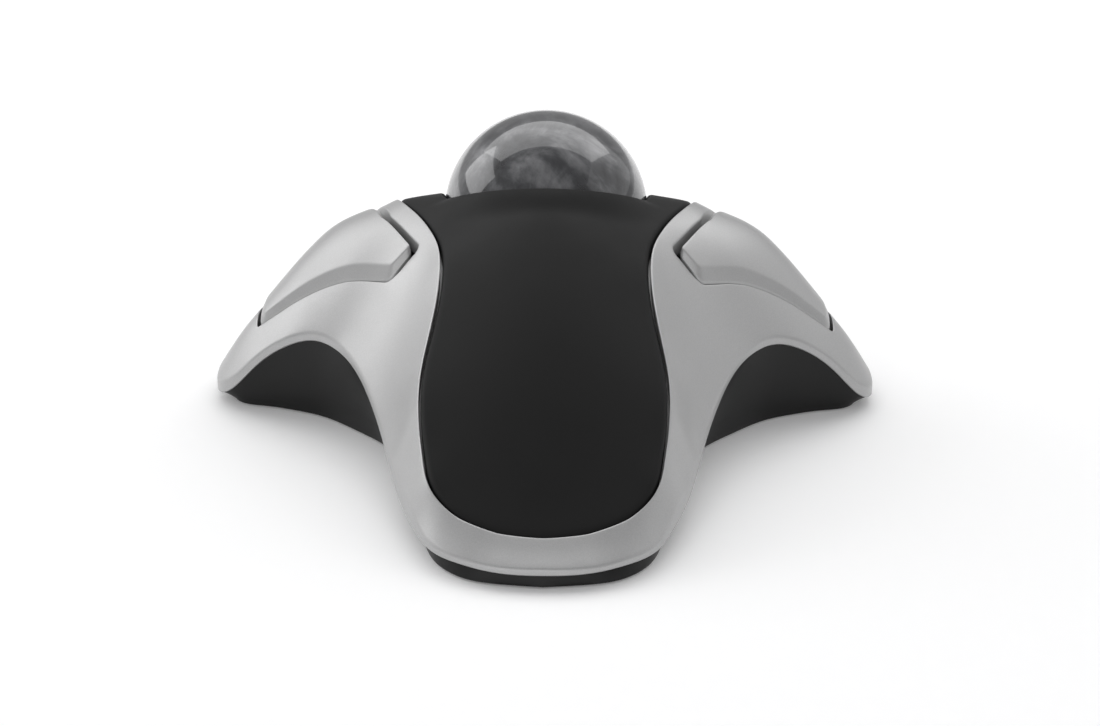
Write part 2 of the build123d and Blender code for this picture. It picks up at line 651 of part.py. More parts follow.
with BuildPart() as sensor_chip:
    with Locations((0, BALL_CENTRE[1], BOARD_TOP)):
        Box(*SENSOR_SIZE, align=BOTTOM)
    chamfer(sensor_chip.faces().sort_by(Axis.Z)[-1].edges(), CHIP_CHAMFER)
sensor_chip.part.label = "sensor_chip"
export_step(sensor_chip.part, "parts/sensor_chip.step")

with BuildPart() as sensor_lens:
    with Locations((0, BALL_CENTRE[1], BOARD_TOP + SENSOR_SIZE[2])):
        Box(*LENS_PLATE, align=BOTTOM)
        Cylinder(LENS_RADIUS, LENS_HEIGHT, align=BOTTOM)
    fillet(sensor_lens.faces().sort_by(Axis.Z)[-1].edges(), LENS_FILLET)
sensor_lens.part.label = "sensor_lens"
export_step(sensor_lens.part, "parts/sensor_lens.step")

led_base = Vector(LED_BASE[0], BALL_CENTRE[1], BOARD_TOP + LED_BASE[1])
led_spot = Vector(LED_SPOT_X, BALL_CENTRE[1], BALL_CENTRE[2] - BALL_RADIUS)
led_plane = Plane(origin=led_base, x_dir=(0, 1, 0), z_dir=led_spot - led_base)

with BuildPart() as sensor_led:
    with Locations(led_plane.location):
        Cylinder(LED_RADIUS, LED_LENGTH, align=BOTTOM)
    fillet(sensor_led.faces().sort_by(Axis.Z)[-1].edges(), LED_DOME)
sensor_led.part.label = "sensor_led"
export_step(sensor_led.part, "parts/sensor_led.step")

with BuildPart() as led_clip:
    with Locations((CLIP_X, BALL_CENTRE[1], BOARD_TOP)):
        Box(*CLIP_SIZE, align=BOTTOM)
    with Locations(led_plane.location):
        Cylinder(LED_RADIUS + CLIP_GAP, DEEP_CUT, mode=Mode.SUBTRACT)
led_clip.part.label = "led_clip"
export_step(led_clip.part, "parts/led_clip.step")

with BuildPart() as usb_controller:
    with Locations((*CONTROLLER_PLACE, BOARD_TOP)):
        Box(*CONTROLLER_SIZE, align=BOTTOM)
    chamfer(usb_controller.faces().sort_by(Axis.Z)[-1].edges(), CHIP_CHAMFER)
usb_controller.part.label = "usb_controller"
export_step(usb_controller.part, "parts/usb_controller.step")

with BuildPart() as clock_crystal:
    with BuildSketch(Plane.XY.offset(BOARD_TOP)):
        with Locations(CRYSTAL_PLACE):
            SlotOverall(*CRYSTAL_SIZE[:2], rotation=90)
    extrude(amount=CRYSTAL_SIZE[2])
clock_crystal.part.label = "clock_crystal"
export_step(clock_crystal.part, "parts/clock_crystal.step")

with BuildPart() as capacitor:
    with Locations((*CAPACITOR_PLACE, BOARD_TOP)):
        Cylinder(*CAPACITOR_SIZE, align=BOTTOM)
    fillet(capacitor.faces().sort_by(Axis.Z)[-1].edges(), CAPACITOR_FILLET)
capacitor.part.label = "capacitor"
export_step(capacitor.part, "parts/capacitor.step")

with BuildPart() as cable_header:
    with Locations((0, HEADER_Y, BOARD_TOP)):
        Box(*HEADER_SIZE, align=BOTTOM)
    with Locations((0, HEADER_WELL_Y, BOARD_TOP + HEADER_SIZE[2])):
        Box(*HEADER_WELL, mode=Mode.SUBTRACT)
cable_header.part.label = "cable_header"
export_step(cable_header.part, "parts/cable_header.step")


# ---------------------------------------------------------------- cable inlet, feet, screws
with BuildPart() as cable_grommet:
    with BuildSketch(Plane(origin=(0, 0, CABLE_Z), x_dir=(1, 0, 0), z_dir=(0, 0, 1))):
        with BuildLine():
            Polyline((CABLE_RADIUS, GROMMET_INSIDE), (GROMMET_FLANGE, GROMMET_INSIDE),
                     (GROMMET_FLANGE, WALL_INSIDE), (GROMMET_RADIUS, WALL_INSIDE),
                     (GROMMET_RADIUS, WALL_OUTSIDE), (GROMMET_FLANGE, WALL_OUTSIDE),
                     (GROMMET_NOSE, GROMMET_OUTSIDE), (CABLE_RADIUS, GROMMET_OUTSIDE),
                     close=True)
        make_face()
    revolve(axis=Axis((0, 0, CABLE_Z), (0, 1, 0)))
cable_grommet.part.label = "cable_grommet"
export_step(cable_grommet.part, "parts/cable_grommet.step")

with BuildPart() as rubber_feet:
    with Locations(*[(x, y, 0) for x, y in FEET]):
        Cylinder(FOOT_RADIUS, FOOT_THICKNESS, align=BOTTOM)
    chamfer(rubber_feet.faces().filter_by(Axis.Z).group_by(Axis.Z)[0].edges(), FOOT_CHAMFER)
rubber_feet.part.label = "rubber_feet"
export_step(rubber_feet.part, "parts/rubber_feet.step")


def screws_up(places, reach):
    """Cross-head screws driven up from the underside, heads in the base's counterbores."""
    with BuildPart() as group:
        with Locations(*[(x, y, FLOOR_TOP) for x, y in places]):
            Cylinder(SCREW_HEAD_RADIUS, SCREW_HEAD_HEIGHT, align=BOTTOM)
            Cylinder(SCREW_RADIUS, reach - FLOOR_TOP, align=BOTTOM)
            Box(*SLOT_SIZE, mode=Mode.SUBTRACT)
            Box(*SLOT_SIZE, rotation=(0, 0, 90), mode=Mode.SUBTRACT)
    return group.part


def screws_down(places, seat, depth):
    """Cross-head screws driven down through a board into the base."""
    with BuildPart() as group:
        with Locations(*[(x, y, seat) for x, y in places]):
            Cylinder(*BOARD_SCREW_HEAD, align=BOTTOM)
            Cylinder(SCREW_RADIUS, depth, align=TOP)
        with Locations(*[(x, y, seat + BOARD_SCREW_HEAD[1]) for x, y in places]):
            Box(*BOARD_SLOT_SIZE, mode=Mode.SUBTRACT)
            Box(*BOARD_SLOT_SIZE, rotation=(0, 0, 90), mode=Mode.SUBTRACT)
    return group.part


for name, group in (
    ("case_screws", screws_up(CASE_SCREWS, CASE_SCREW_TOP)),
    ("cover_screws", screws_up(COVER_SCREWS, COVER_SCREW_TOP)),
    ("cup_screws", screws_up(CUP_SCREWS, CUP_SCREW_TOP)),
    ("main_board_screws", screws_down(MAIN_BOARD_SCREWS, BOARD_TOP, MAIN_SCREW_DEPTH)),
    ("switch_board_screws",
     screws_down(SWITCH_BOARD_SCREWS, SWITCH_BOARD_TOP, SWITCH_SCREW_DEPTH)),
):
    with BuildPart() as piece:
        add(group)
    piece.part.label = name
    export_step(piece.part, f"parts/{name}.step")
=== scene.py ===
import json
import math

import bmesh
import bpy
import numpy as np
from mathutils import Matrix, Vector
from mathutils.geometry import delaunay_2d_cdt


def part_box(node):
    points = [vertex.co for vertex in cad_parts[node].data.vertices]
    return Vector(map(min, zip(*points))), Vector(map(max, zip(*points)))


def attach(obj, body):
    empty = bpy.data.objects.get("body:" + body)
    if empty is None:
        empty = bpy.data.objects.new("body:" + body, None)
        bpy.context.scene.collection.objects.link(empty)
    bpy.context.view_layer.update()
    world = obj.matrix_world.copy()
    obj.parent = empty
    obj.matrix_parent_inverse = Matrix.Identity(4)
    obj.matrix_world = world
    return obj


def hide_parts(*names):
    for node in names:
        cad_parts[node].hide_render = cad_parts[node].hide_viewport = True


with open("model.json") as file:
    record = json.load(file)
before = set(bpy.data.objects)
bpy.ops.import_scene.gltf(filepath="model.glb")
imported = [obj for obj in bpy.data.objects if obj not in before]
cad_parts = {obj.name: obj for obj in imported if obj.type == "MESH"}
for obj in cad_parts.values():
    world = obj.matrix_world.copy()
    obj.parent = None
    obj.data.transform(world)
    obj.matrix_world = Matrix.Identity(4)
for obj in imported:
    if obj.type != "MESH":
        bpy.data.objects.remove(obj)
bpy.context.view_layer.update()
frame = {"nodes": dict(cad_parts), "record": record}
NODES = frame["nodes"]

# Outlines and surfaces are worked out in millimetres and become metres when a mesh is made.
MM = 0.001

ball_low, ball_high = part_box("ball_coat")
BALL_CENTRE = np.array((ball_low + ball_high) / 2) / MM
BALL_RADIUS = (ball_high.x - ball_low.x) / 2 / MM
RIM_TILT = math.radians(33.0)
RIM_RADIUS = 20.45
RIM_BEAD = 0.45
RIM_RISE = 1.0
# Beside the ball and in front of it, the rim draws the cover no lower than this.
SHOULDER_LIFT = -0.3
# The rim's pull on the cover fades out between these two distances from the rim.
RIM_BLEND_START = -1.0
RIM_BLEND = 6.5
# Away from the rim, the cover lies this much below the surface through its points.
COVER_SET_DOWN = 0.25
RIM_NORMAL = np.array((0.0, math.sin(RIM_TILT), math.cos(RIM_TILT)))
RIM_SLOPE = np.array((0.0, -math.cos(RIM_TILT), math.sin(RIM_TILT)))

# Spacing of points over a top skin, along a long edge, and along a button's edge.
NET = 1.1
EDGE_STEP = 0.7
BUTTON_STEP = 0.6

# Lower edge of the silver shell, right half from nose to rear: x, y, z and lip height.
SILVER_EDGE = [
    (0.0, -56.0, 2.7, 1.5), (8.0, -55.3, 2.8, 1.5), (15.0, -52.4, 3.0, 1.6),
    (20.3, -47.8, 3.1, 1.8), (23.0, -42.5, 3.7, 1.9), (26.4, -33.0, 5.1, 1.9),
    (28.7, -24.0, 7.3, 1.9), (31.2, -14.0, 10.4, 1.9), (33.5, -7.5, 13.3, 1.8),
    (36.5, -1.0, 15.9, 1.6), (40.0, 4.2, 17.2, 1.4), (45.0, 8.4, 17.4, 1.6),
    (50.5, 10.8, 15.0, 2.0), (57.0, 12.6, 9.6, 2.2), (61.5, 13.6, 4.6, 2.2),
    (64.6, 16.3, 2.2, 2.4), (65.4, 21.0, 1.9, 2.6), (63.8, 28.0, 2.0, 2.6),
    (59.5, 35.5, 2.5, 2.6), (51.0, 43.0, 3.0, 2.6), (38.0, 49.8, 4.0, 2.6),
    (20.0, 54.4, 8.0, 2.6), (0.0, 56.0, 11.0, 2.6),
]

# Where the base meets the desk, point for point under the silver edge.
FLOOR_EDGE = [
    (0.0, -55.9), (8.0, -54.9), (14.9, -52.4), (19.3, -47.4), (21.2, -42.0),
    (23.4, -32.0), (25.2, -22.5), (27.2, -12.0), (29.6, -5.0), (32.8, -0.3),
    (37.6, 4.4), (43.4, 9.3), (49.0, 11.9), (55.0, 13.8), (59.2, 14.8),
    (61.6, 17.0), (62.0, 21.0), (60.2, 27.6), (56.0, 34.4), (48.2, 40.8),
    (36.0, 47.0), (19.2, 51.8), (0.0, 54.4),
]

# Inner edge of the silver shell, right half from nose to tail.
PANEL_EDGE = [
    (0.0, -50.3, 7.3), (8.0, -49.3, 7.5), (15.2, -46.3, 9.1), (18.85, -42.9, 11.0),
    (20.7, -40.0, 13.5), (21.9, -35.2, 16.0), (22.9, -27.0, 22.0), (22.7, -21.0, 25.7),
    (21.4, -14.2, 30.0), (20.2, -7.6, 34.2), (19.8, -0.5, 38.0), (20.5, 6.0, 39.3),
    (22.2, 11.6, 40.0), (26.0, 20.5, 40.2), (28.7, 27.0, 39.6), (29.2, 34.0, 36.0),
    (26.5, 42.0, 29.5), (20.5, 49.5, 21.0), (15.0, 54.8, 13.8),
]

# Points that the silver wing passes through, right side.
WING_POINTS = [
    (28.0, 0.0, 28.0), (25.6, -27.0, 15.5), (38.0, 13.0, 29.8), (27.0, -12.0, 22.0),
    (34.0, 26.5, 36.8), (40.6, 26.0, 32.5), (44.7, 26.0, 28.7), (48.7, 25.0, 25.4),
    (54.0, 24.0, 19.8), (58.8, 22.0, 15.0), (61.6, 21.0, 11.5), (50.0, 34.0, 18.5),
    (40.0, 38.0, 24.5), (33.0, 40.0, 27.5), (45.0, 15.5, 25.3), (52.0, 17.0, 19.5),
]

# Points that the palm cover passes through, down the middle and beside the ball.
SPINE_POINTS = [
    (0.0, -40.0, 16.6), (0.0, -30.0, 25.2), (0.0, -20.0, 32.6), (0.0, -10.0, 38.8),
    (0.0, 0.0, 43.9), (0.0, 8.0, 47.3), (0.0, 18.0, 46.5), (0.0, 30.0, 42.0),
    (0.0, 40.0, 35.5), (0.0, 47.0, 28.5), (0.0, 52.0, 20.5), (0.0, 56.0, 13.6),
    (20.5, 27.5, 41.0),
]

# Right button in plan: the inner tip, the front edge to its outer corner, then back round.
BUTTON_TIP = (25.4, 8.8)
BUTTON_CORNER = (56.2, 18.0)
BUTTON_FRONT = [(29.6, 6.9), (32.8, 9.1), (37.8, 12.0), (46.0, 15.4), (52.0, 17.1), BUTTON_CORNER]
BUTTON_REAR = [
    BUTTON_CORNER, (56.2, 21.8), (54.5, 28.5), (47.0, 33.5), (39.0, 35.0), (34.8, 30.2),
    (31.7, 21.0),
]

# How far the button's top stands above the wing: x, y and height, right side.
BUTTON_PROUD = [
    (26.5, 9.5, 1.6), (30.5, 9.0, 1.7), (36.0, 13.0, 1.75), (42.5, 16.0, 1.75),
    (48.0, 18.0, 1.6), (54.8, 19.8, 1.05), (31.0, 19.0, 1.3), (33.8, 28.0, 0.8),
    (37.0, 32.5, 1.3), (43.5, 29.5, 2.7), (40.0, 23.0, 2.0), (48.5, 27.0, 2.1),
    (54.2, 26.0, 1.2), (46.0, 33.0, 1.8),
]


# ---------------------------------------------------------------- curves and surfaces
def thin_plate(points, softness=20.0):
    """Height z(x, y) of a soft thin plate laid over points, the same on the left and right."""
    knots = np.array(points + [(-x, y, z) for x, y, z in points if x > 0])
    count = len(knots)

    def bend(x, y):
        squared = (x[..., None] - knots[:, 0]) ** 2 + (y[..., None] - knots[:, 1]) ** 2
        return 0.5 * squared * np.log(np.maximum(squared, 1e-12))

    plane = np.column_stack((np.ones(count), knots[:, 0], knots[:, 1]))
    system = np.zeros((count + 3, count + 3))
    system[:count, :count] = bend(knots[:, 0], knots[:, 1]) + softness * np.eye(count)
    system[:count, count:] = plane
    system[count:, :count] = plane.T
    weights = np.linalg.solve(system, np.append(knots[:, 2], (0, 0, 0)))

    def height(x, y):
        x, y = np.asarray(x, float), np.asarray(y, float)
        return bend(x, y) @ weights[:count] + weights[-3] + weights[-2] * x + weights[-1] * y

    return height


def fine_curve(points, closed):
    """A smooth curve, finely sampled, through points of any dimension; the plan is in x and y."""
    knots = np.array(points, float)
    if closed:
        knots = np.vstack((knots, knots[:1]))
    spans = np.linalg.norm(np.diff(knots[:, :2], axis=0), axis=1)
    count = len(knots)
    system, pull = np.zeros((count, count)), np.zeros_like(knots)
    rise = np.diff(knots, axis=0) / spans[:, None]
    for i in range(1, count - 1):
        system[i, i - 1:i + 2] = (spans[i - 1], 2 * (spans[i - 1] + spans[i]), spans[i])
        pull[i] = 6 * (rise[i] - rise[i - 1])
    if closed:
        system[0, 0], system[0, -1] = 1, -1
        system[-1, :2] = (2 * spans[0], spans[0])
        system[-1, -2:] = (spans[-1], 2 * spans[-1])
        pull[-1] = 6 * (rise[0] - rise[-1])
    else:
        system[0, 0] = system[-1, -1] = 1
    curve = np.linalg.solve(system, pull)
    samples = []
    for i, span in enumerate(spans):
        t = np.linspace(0, 1, max(8, int(span / 0.1)), endpoint=False)[:, None]
        s = 1 - t
        samples.append(s * knots[i] + t * knots[i + 1]
                       + span ** 2 / 6 * ((s ** 3 - s) * curve[i] + (t ** 3 - t) * curve[i + 1]))
    return np.vstack(samples + [knots[-1:]])


def even(line, step):
    """A line of points made even in plan, about step apart, with its ends kept."""
    travelled = np.append(0, np.cumsum(np.linalg.norm(np.diff(line[:, :2], axis=0), axis=1)))
    wanted = np.linspace(0, travelled[-1], max(8, round(travelled[-1] / step)) + 1)
    return np.column_stack([np.interp(wanted, travelled, column) for column in line.T])


def half_curve(half, step, closed):
    """The right half of a left-right symmetric curve, smooth where it crosses the middle."""
    right = np.array(half, float)
    left = right[:0:-1] * np.where(np.arange(right.shape[1]) == 0, -1, 1)
    if closed:
        fine = fine_curve(np.vstack((right, left[1:])), True)
        middle = (len(fine) - 1) // 2
        return even(fine[:middle + 1], step)
    fine = fine_curve(np.vstack((left, right)), False)
    return even(fine[(len(fine) - 1) // 2:], step)


def mirrored(half):
    """A closed ring from its right half, which starts and ends on the middle line."""
    left = half[-2:0:-1].copy()
    left[:, 0] *= -1
    return np.vstack((half, left))


def offset(loop, distance):
    """Move each point of a closed plan loop to its left, which is inwards on an outer edge."""
    ahead = np.roll(loop, -1, axis=0) - loop
    normal = np.column_stack((-ahead[:, 1], ahead[:, 0]))
    normal /= np.linalg.norm(normal, axis=1)[:, None]
    before = np.roll(normal, 1, axis=0)
    miter = (normal + before) / (1 + np.sum(normal * before, axis=1))[:, None]
    return loop + miter * np.reshape(distance, (-1, 1))


def turned_corner(before, corner, after, radius, count=7):
    """Points of a round corner between two sides, each given as points towards the corner."""
    corner = np.array(corner, float)
    sides = []
    for side in (before, after):
        way = side[0] - corner
        sides.append(way / np.linalg.norm(way))
    half = math.acos(np.clip(sides[0] @ sides[1], -1, 1)) / 2
    middle = sides[0] + sides[1]
    centre = corner + middle / np.linalg.norm(middle) * radius / math.sin(half)
    ends = [corner + way * radius / math.tan(half) - centre for way in sides]
    blend = np.linspace(0, 1, count)[:, None]
    spread = math.acos(np.clip(ends[0] @ ends[1] / radius ** 2, -1, 1))
    arc = (np.sin((1 - blend) * spread) * ends[0] + np.sin(blend * spread) * ends[1])
    return centre + arc / math.sin(spread)


def round_corner(loop, index, radius):
    """A closed plan loop with one corner point replaced by an arc."""
    loop = np.roll(loop, -index, axis=0)
    corner, rest = loop[0], loop[1:]
    ahead, behind = rest[2] - corner, rest[-3] - corner
    half = math.acos(ahead @ behind / np.linalg.norm(ahead) / np.linalg.norm(behind)) / 2
    clear = radius / math.tan(half) + 0.25
    away = np.linalg.norm(rest - corner, axis=1)
    first = np.argmax(away > clear)
    last = len(rest) - np.argmax(away[::-1] > clear)
    arc = turned_corner(rest[last - 1:], corner, rest[first:], radius)
    return np.vstack((arc, rest[first:last]))


def inside(points, loop):
    """Which points lie inside a closed plan loop."""
    x, y = points[:, 0][:, None], points[:, 1][:, None]
    x0, y0 = loop[:, 0], loop[:, 1]
    x1, y1 = np.roll(x0, -1), np.roll(y0, -1)
    rise = np.where(y1 == y0, 1e-12, y1 - y0)
    crossing = ((y0 > y) != (y1 > y)) & (x < (x1 - x0) * (y - y0) / rise + x0)
    return crossing.sum(axis=1) % 2 == 1


def smooth(value, low, high):
    t = np.clip((value - low) / (high - low), 0, 1)
    return t * t * (3 - 2 * t)


silver_height = thin_plate(
    [(x, y, z + lip) for x, y, z, lip in SILVER_EDGE] + PANEL_EDGE + WING_POINTS
)
panel_height = thin_plate(PANEL_EDGE + SPINE_POINTS)


def rim_point(turn, radius=RIM_RADIUS, rise=RIM_RISE):
    """A point of the ball's rim, turned from the right side towards the front."""
    across = np.cos(turn)[..., None] * np.array((1.0, 0.0, 0.0))
    along = np.sin(turn)[..., None] * RIM_SLOPE
    return BALL_CENTRE + radius * (across + along) + rise * RIM_NORMAL


def cover_height(x, y):
    """The palm cover, drawn up or down to the tilted rim round the ball, flat beside the ball."""
    x, y = np.asarray(x, float), np.asarray(y, float)
    middle = BALL_CENTRE + RIM_RISE * RIM_NORMAL
    dx = (x - middle[0]) / RIM_RADIUS
    dy = (middle[1] - y) / (RIM_RADIUS * math.cos(RIM_TILT))
    reach = np.hypot(dx, dy)
    turn = np.arctan2(dy, dx)
    on_rim = rim_point(turn)
    lift = on_rim[..., 2] - panel_height(on_rim[..., 0], on_rim[..., 1])
    shoulder = smooth(np.sin(turn), -0.6, -0.15)
    lift = lift + shoulder * np.maximum(SHOULDER_LIFT - lift, 0)
    away = (reach - 1) * RIM_RADIUS
    pull = 1 - smooth(away, RIM_BLEND_START, RIM_BLEND)
    return panel_height(x, y) - COVER_SET_DOWN + (lift + COVER_SET_DOWN) * pull


# ---------------------------------------------------------------- meshes
def fill(outer, holes, spacing):
    """Net points and triangles between an outer plan loop and its holes."""
    rims = [outer] + holes
    rim = np.vstack(rims)
    low, high = outer.min(axis=0), outer.max(axis=0)
    net = []
    for row, y in enumerate(np.arange(low[1], high[1], spacing * 0.866)):
        half = int(np.abs((low[0], high[0])).max() / spacing) + 1
        shift = 0.5 * (row % 2)
        net.extend(((column + shift) * spacing, y) for column in range(-half - 1, half + 1))
    net = np.array(net)
    keep = inside(net, outer)
    for hole in holes:
        keep &= ~inside(net, hole)
    net = net[keep]
    gap = np.array([np.min(np.hypot(rim[:, 0] - x, rim[:, 1] - y)) for x, y in net])
    net = net[gap > 0.6 * spacing]
    points = np.vstack((rim, net))
    edges, start = [], 0
    for loop in rims:
        count = len(loop)
        edges.extend((start + i, start + (i + 1) % count) for i in range(count))
        start += count
    _, _, faces, origin, _, _ = delaunay_2d_cdt([Vector(p) for p in points], edges, [], 0, 1e-7)
    faces = np.array([[origin[corner][0] for corner in face] for face in faces])
    centres = points[faces].mean(axis=1)
    keep = inside(centres, outer)
    for hole in holes:
        keep &= ~inside(centres, hole)
    return net, faces[keep]


def plate(outer_rings, hole_rings, height, lower, spacing=NET):
    """A closed sheet: a top skin, a lower skin, and rings of points round every edge.

    Each edge is a list of equal rings from the top skin's rim to the lower skin's rim, and its
    last ring lies under its first."""
    edges = [outer_rings] + hole_rings
    net, triangles = fill(outer_rings[0][:, :2], [rings[0][:, :2] for rings in hole_rings], spacing)
    points, starts = [], []
    count = 0
    for rings in edges:
        starts.append(count)
        count += len(rings[0])
        points.append(rings[0])
    top_net = count
    points.append(np.column_stack((net, height(net[:, 0], net[:, 1]))))
    count += len(net)
    low_index = np.empty(count, int)
    low_index[top_net:] = np.arange(len(net)) + count
    points.append(np.column_stack((net, lower(net[:, 0], net[:, 1]))))
    count += len(net)
    faces = [tuple(face) for face in triangles]
    for rings, start in zip(edges, starts):
        size = len(rings[0])
        previous = start
        for ring in rings[1:]:
            points.append(ring)
            for i in range(size):
                j = (i + 1) % size
                faces.append((previous + i, previous + j, count + j, count + i))
            previous = count
            count += size
        low_index[start:start + size] = np.arange(previous, previous + size)
    faces.extend(tuple(low_index[face][::-1]) for face in triangles)
    return np.vstack(points), faces


def lifted(plan, height):
    return np.column_stack((plan, height(plan[:, 0], plan[:, 1])))


def at_level(plan, z):
    return np.column_stack((plan, np.broadcast_to(z, len(plan))))


LEDGE_STEP = 0.05
# A ledge's thickness as a share of its reach.
LEDGE_THICKNESS = 0.4


def rounded_rim(loop, height, radius, foot, lower, steps=5, foot_edge=0.2, ledge=None):
    """Rings over a rounded edge, down a wall to its foot and back under to the lower skin.

    A ledge is how far the foot reaches out past the wall, under a neighbour's edge."""
    radius = np.broadcast_to(radius, len(loop))
    top = offset(loop, radius)
    rings = [lifted(top, height)]
    for step in range(1, steps + 1):
        angle = step / steps * math.pi / 2
        plan = offset(loop, radius * (1 - math.sin(angle)))
        ring = lifted(plan, height)
        ring[:, 2] -= radius * (1 - math.cos(angle))
        rings.append(ring)
    rings.append(at_level(loop, foot + foot_edge))
    rings.append(at_level(offset(loop, foot_edge), foot))
    if ledge is not None:
        foot = foot - LEDGE_STEP
        rings.append(at_level(offset(loop, foot_edge + LEDGE_STEP - ledge), foot))
        foot = foot - LEDGE_THICKNESS * ledge
        rings.append(at_level(offset(loop, foot_edge + 2 * LEDGE_STEP - ledge), foot))
    rings.append(at_level(top, foot))
    rings.append(lifted(top, lower))
    return rings


def make_piece(name, points, faces, material, body, replaced=(), sharp=35.0):
    mesh = bpy.data.meshes.new(name)
    mesh.from_pydata((np.asarray(points) * MM).tolist(), [], [list(map(int, f)) for f in faces])
    shape = bmesh.new()
    shape.from_mesh(mesh)
    bmesh.ops.recalc_face_normals(shape, faces=shape.faces)
    shape.to_mesh(mesh)
    shape.free()
    mesh.shade_smooth()
    mesh.set_sharp_from_angle(angle=math.radians(sharp))
    mesh.materials.append(material)
    piece = bpy.data.objects.new(name, mesh)
    bpy.context.scene.collection.objects.link(piece)
    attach(piece, body)
    if replaced:
        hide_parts(*replaced)
    return piece


# ---------------------------------------------------------------- materials
class Nodes:
    """A material's node tree, built by short calls."""

    def __init__(self, name):
        self.material = bpy.data.materials.new(name)
        self.material.use_nodes = True
        self.tree = self.material.node_tree
        self.shader = self.tree.nodes["Principled BSDF"]
        self.place = self.add("ShaderNodeTexCoord").outputs["Object"]

    def add(self, kind, **values):
        node = self.tree.nodes.new(kind)
        for key, value in values.items():
            setattr(node, key, value)
        return node

    def link(self, source, target):
        self.tree.links.new(source, target)

    def set(self, **values):
        for key, value in values.items():
            self.shader.inputs[key.replace("_", " ")].default_value = value

    def noise(self, scale, detail=3.0, roughness=0.5, distortion=0.0, place=None):
        node = self.add("ShaderNodeTexNoise")
        node.inputs["Scale"].default_value = scale
        node.inputs["Detail"].default_value = detail
        node.inputs["Roughness"].default_value = roughness
        node.inputs["Distortion"].default_value = distortion
        self.link(place or self.place, node.inputs["Vector"])
        return node.outputs["Fac"]

    def ramp(self, source, stops):
        node = self.add("ShaderNodeValToRGB")
        ramp = node.color_ramp
        while len(ramp.elements) < len(stops):
            ramp.elements.new(0.5)
        for element, (position, value) in zip(ramp.elements, stops):
            element.position = position
            shade = value if isinstance(value, tuple) else (value, value, value)
            element.color = (*shade, 1)
        self.link(source, node.inputs["Fac"])
        return node.outputs["Color"]

    def bump(self, source, strength, distance, normal=None):
        node = self.add("ShaderNodeBump")
        node.inputs["Strength"].default_value = strength
        node.inputs["Distance"].default_value = distance
        self.link(source, node.inputs["Height"])
        if normal:
            self.link(normal, node.inputs["Normal"])
        return node.outputs["Normal"]


def silver_paint(name, tone=0.45):
    """Satin metallic paint: fine flakes, a faint orange peel and slight handling marks."""
    nodes = Nodes(name)
    flakes = nodes.noise(5200, 2, 0.6)
    base = nodes.ramp(flakes, [(0.3, tone * 0.93), (0.7, tone * 1.07)])
    nodes.link(base, nodes.shader.inputs["Base Color"])
    marks = nodes.noise(90, 4, 0.6)
    rough = nodes.ramp(marks, [(0.3, 0.41), (0.7, 0.47)])
    nodes.link(rough, nodes.shader.inputs["Roughness"])
    peel = nodes.bump(nodes.noise(700, 1), 0.05, 0.00002)
    normal = nodes.bump(flakes, 0.06, 0.00001, peel)
    nodes.link(normal, nodes.shader.inputs["Normal"])
    nodes.set(Metallic=0.55, Coat_Weight=0.2, Coat_Roughness=0.35)
    return nodes.material


def black_plastic(name, tone, rough, grain, depth, gloss):
    """Moulded black plastic with a fine spark-eroded grain."""
    nodes = Nodes(name)
    cells = nodes.noise(grain, 3, 0.6)
    wear = nodes.noise(60, 4, 0.55)
    base = nodes.ramp(wear, [(0.35, tone), (0.7, tone * 1.25)])
    nodes.link(base, nodes.shader.inputs["Base Color"])
    nodes.link(nodes.ramp(wear, [(0.3, rough - 0.05), (0.7, rough + 0.05)]),
               nodes.shader.inputs["Roughness"])
    nodes.link(nodes.bump(cells, depth, 0.00003), nodes.shader.inputs["Normal"])
    nodes.set(Specular_IOR_Level=gloss)
    return nodes.material


def marbled_ball(name):
    """Grey swirled resin under a clear polished coat."""
    nodes = Nodes(name)
    swirl = nodes.noise(38, 5, 0.55, 1.6)
    veins = nodes.noise(75, 6, 0.65, 2.4)
    mixed = nodes.add("ShaderNodeMath", operation="MULTIPLY_ADD")
    nodes.link(veins, mixed.inputs[0])
    mixed.inputs[1].default_value = 0.45
    nodes.link(swirl, mixed.inputs[2])
    base = nodes.ramp(mixed.outputs[0], [
        (0.56, (0.012, 0.012, 0.014)), (0.68, (0.045, 0.046, 0.05)),
        (0.79, (0.12, 0.121, 0.126)), (0.94, (0.26, 0.26, 0.27))])
    nodes.link(base, nodes.shader.inputs["Base Color"])
    nodes.link(nodes.ramp(swirl, [(0.3, 0.25), (0.7, 0.4)]), nodes.shader.inputs["Roughness"])
    nodes.set(Metallic=0.35, Coat_Weight=1.0, Coat_Roughness=0.03, Coat_IOR=1.55)
    return nodes.material


def plain(name, colour, rough, metallic=0.0, grain=900, variation=0.12, **values):
    """A small part's finish: a slight mottle in colour and roughness and a fine grain."""
    nodes = Nodes(name)
    mottle = nodes.noise(grain, 3)
    dark = tuple(c * (1 - variation) for c in colour)
    light = tuple(min(1.0, c * (1 + variation)) for c in colour)
    nodes.link(nodes.ramp(mottle, [(0.3, dark), (0.7, light)]), nodes.shader.inputs["Base Color"])
    nodes.link(nodes.ramp(mottle, [(0.3, rough * 0.85), (0.7, min(1, rough * 1.15))]),
               nodes.shader.inputs["Roughness"])
    nodes.link(nodes.bump(mottle, 0.1, 0.00003), nodes.shader.inputs["Normal"])
    nodes.set(Metallic=metallic, **values)
    return nodes.material


SILVER = silver_paint("silver_paint")
SILVER_BUTTON = silver_paint("silver_button_paint", 0.44)
PALM = black_plastic("soft_touch_black", 0.0075, 0.6, 2600, 0.25, 0.22)
BASE = black_plastic("moulded_black", 0.006, 0.4, 1800, 0.2, 0.3)
CUP = black_plastic("cup_black", 0.005, 0.3, 2200, 0.1, 0.3)
BALL = marbled_ball("marbled_resin")

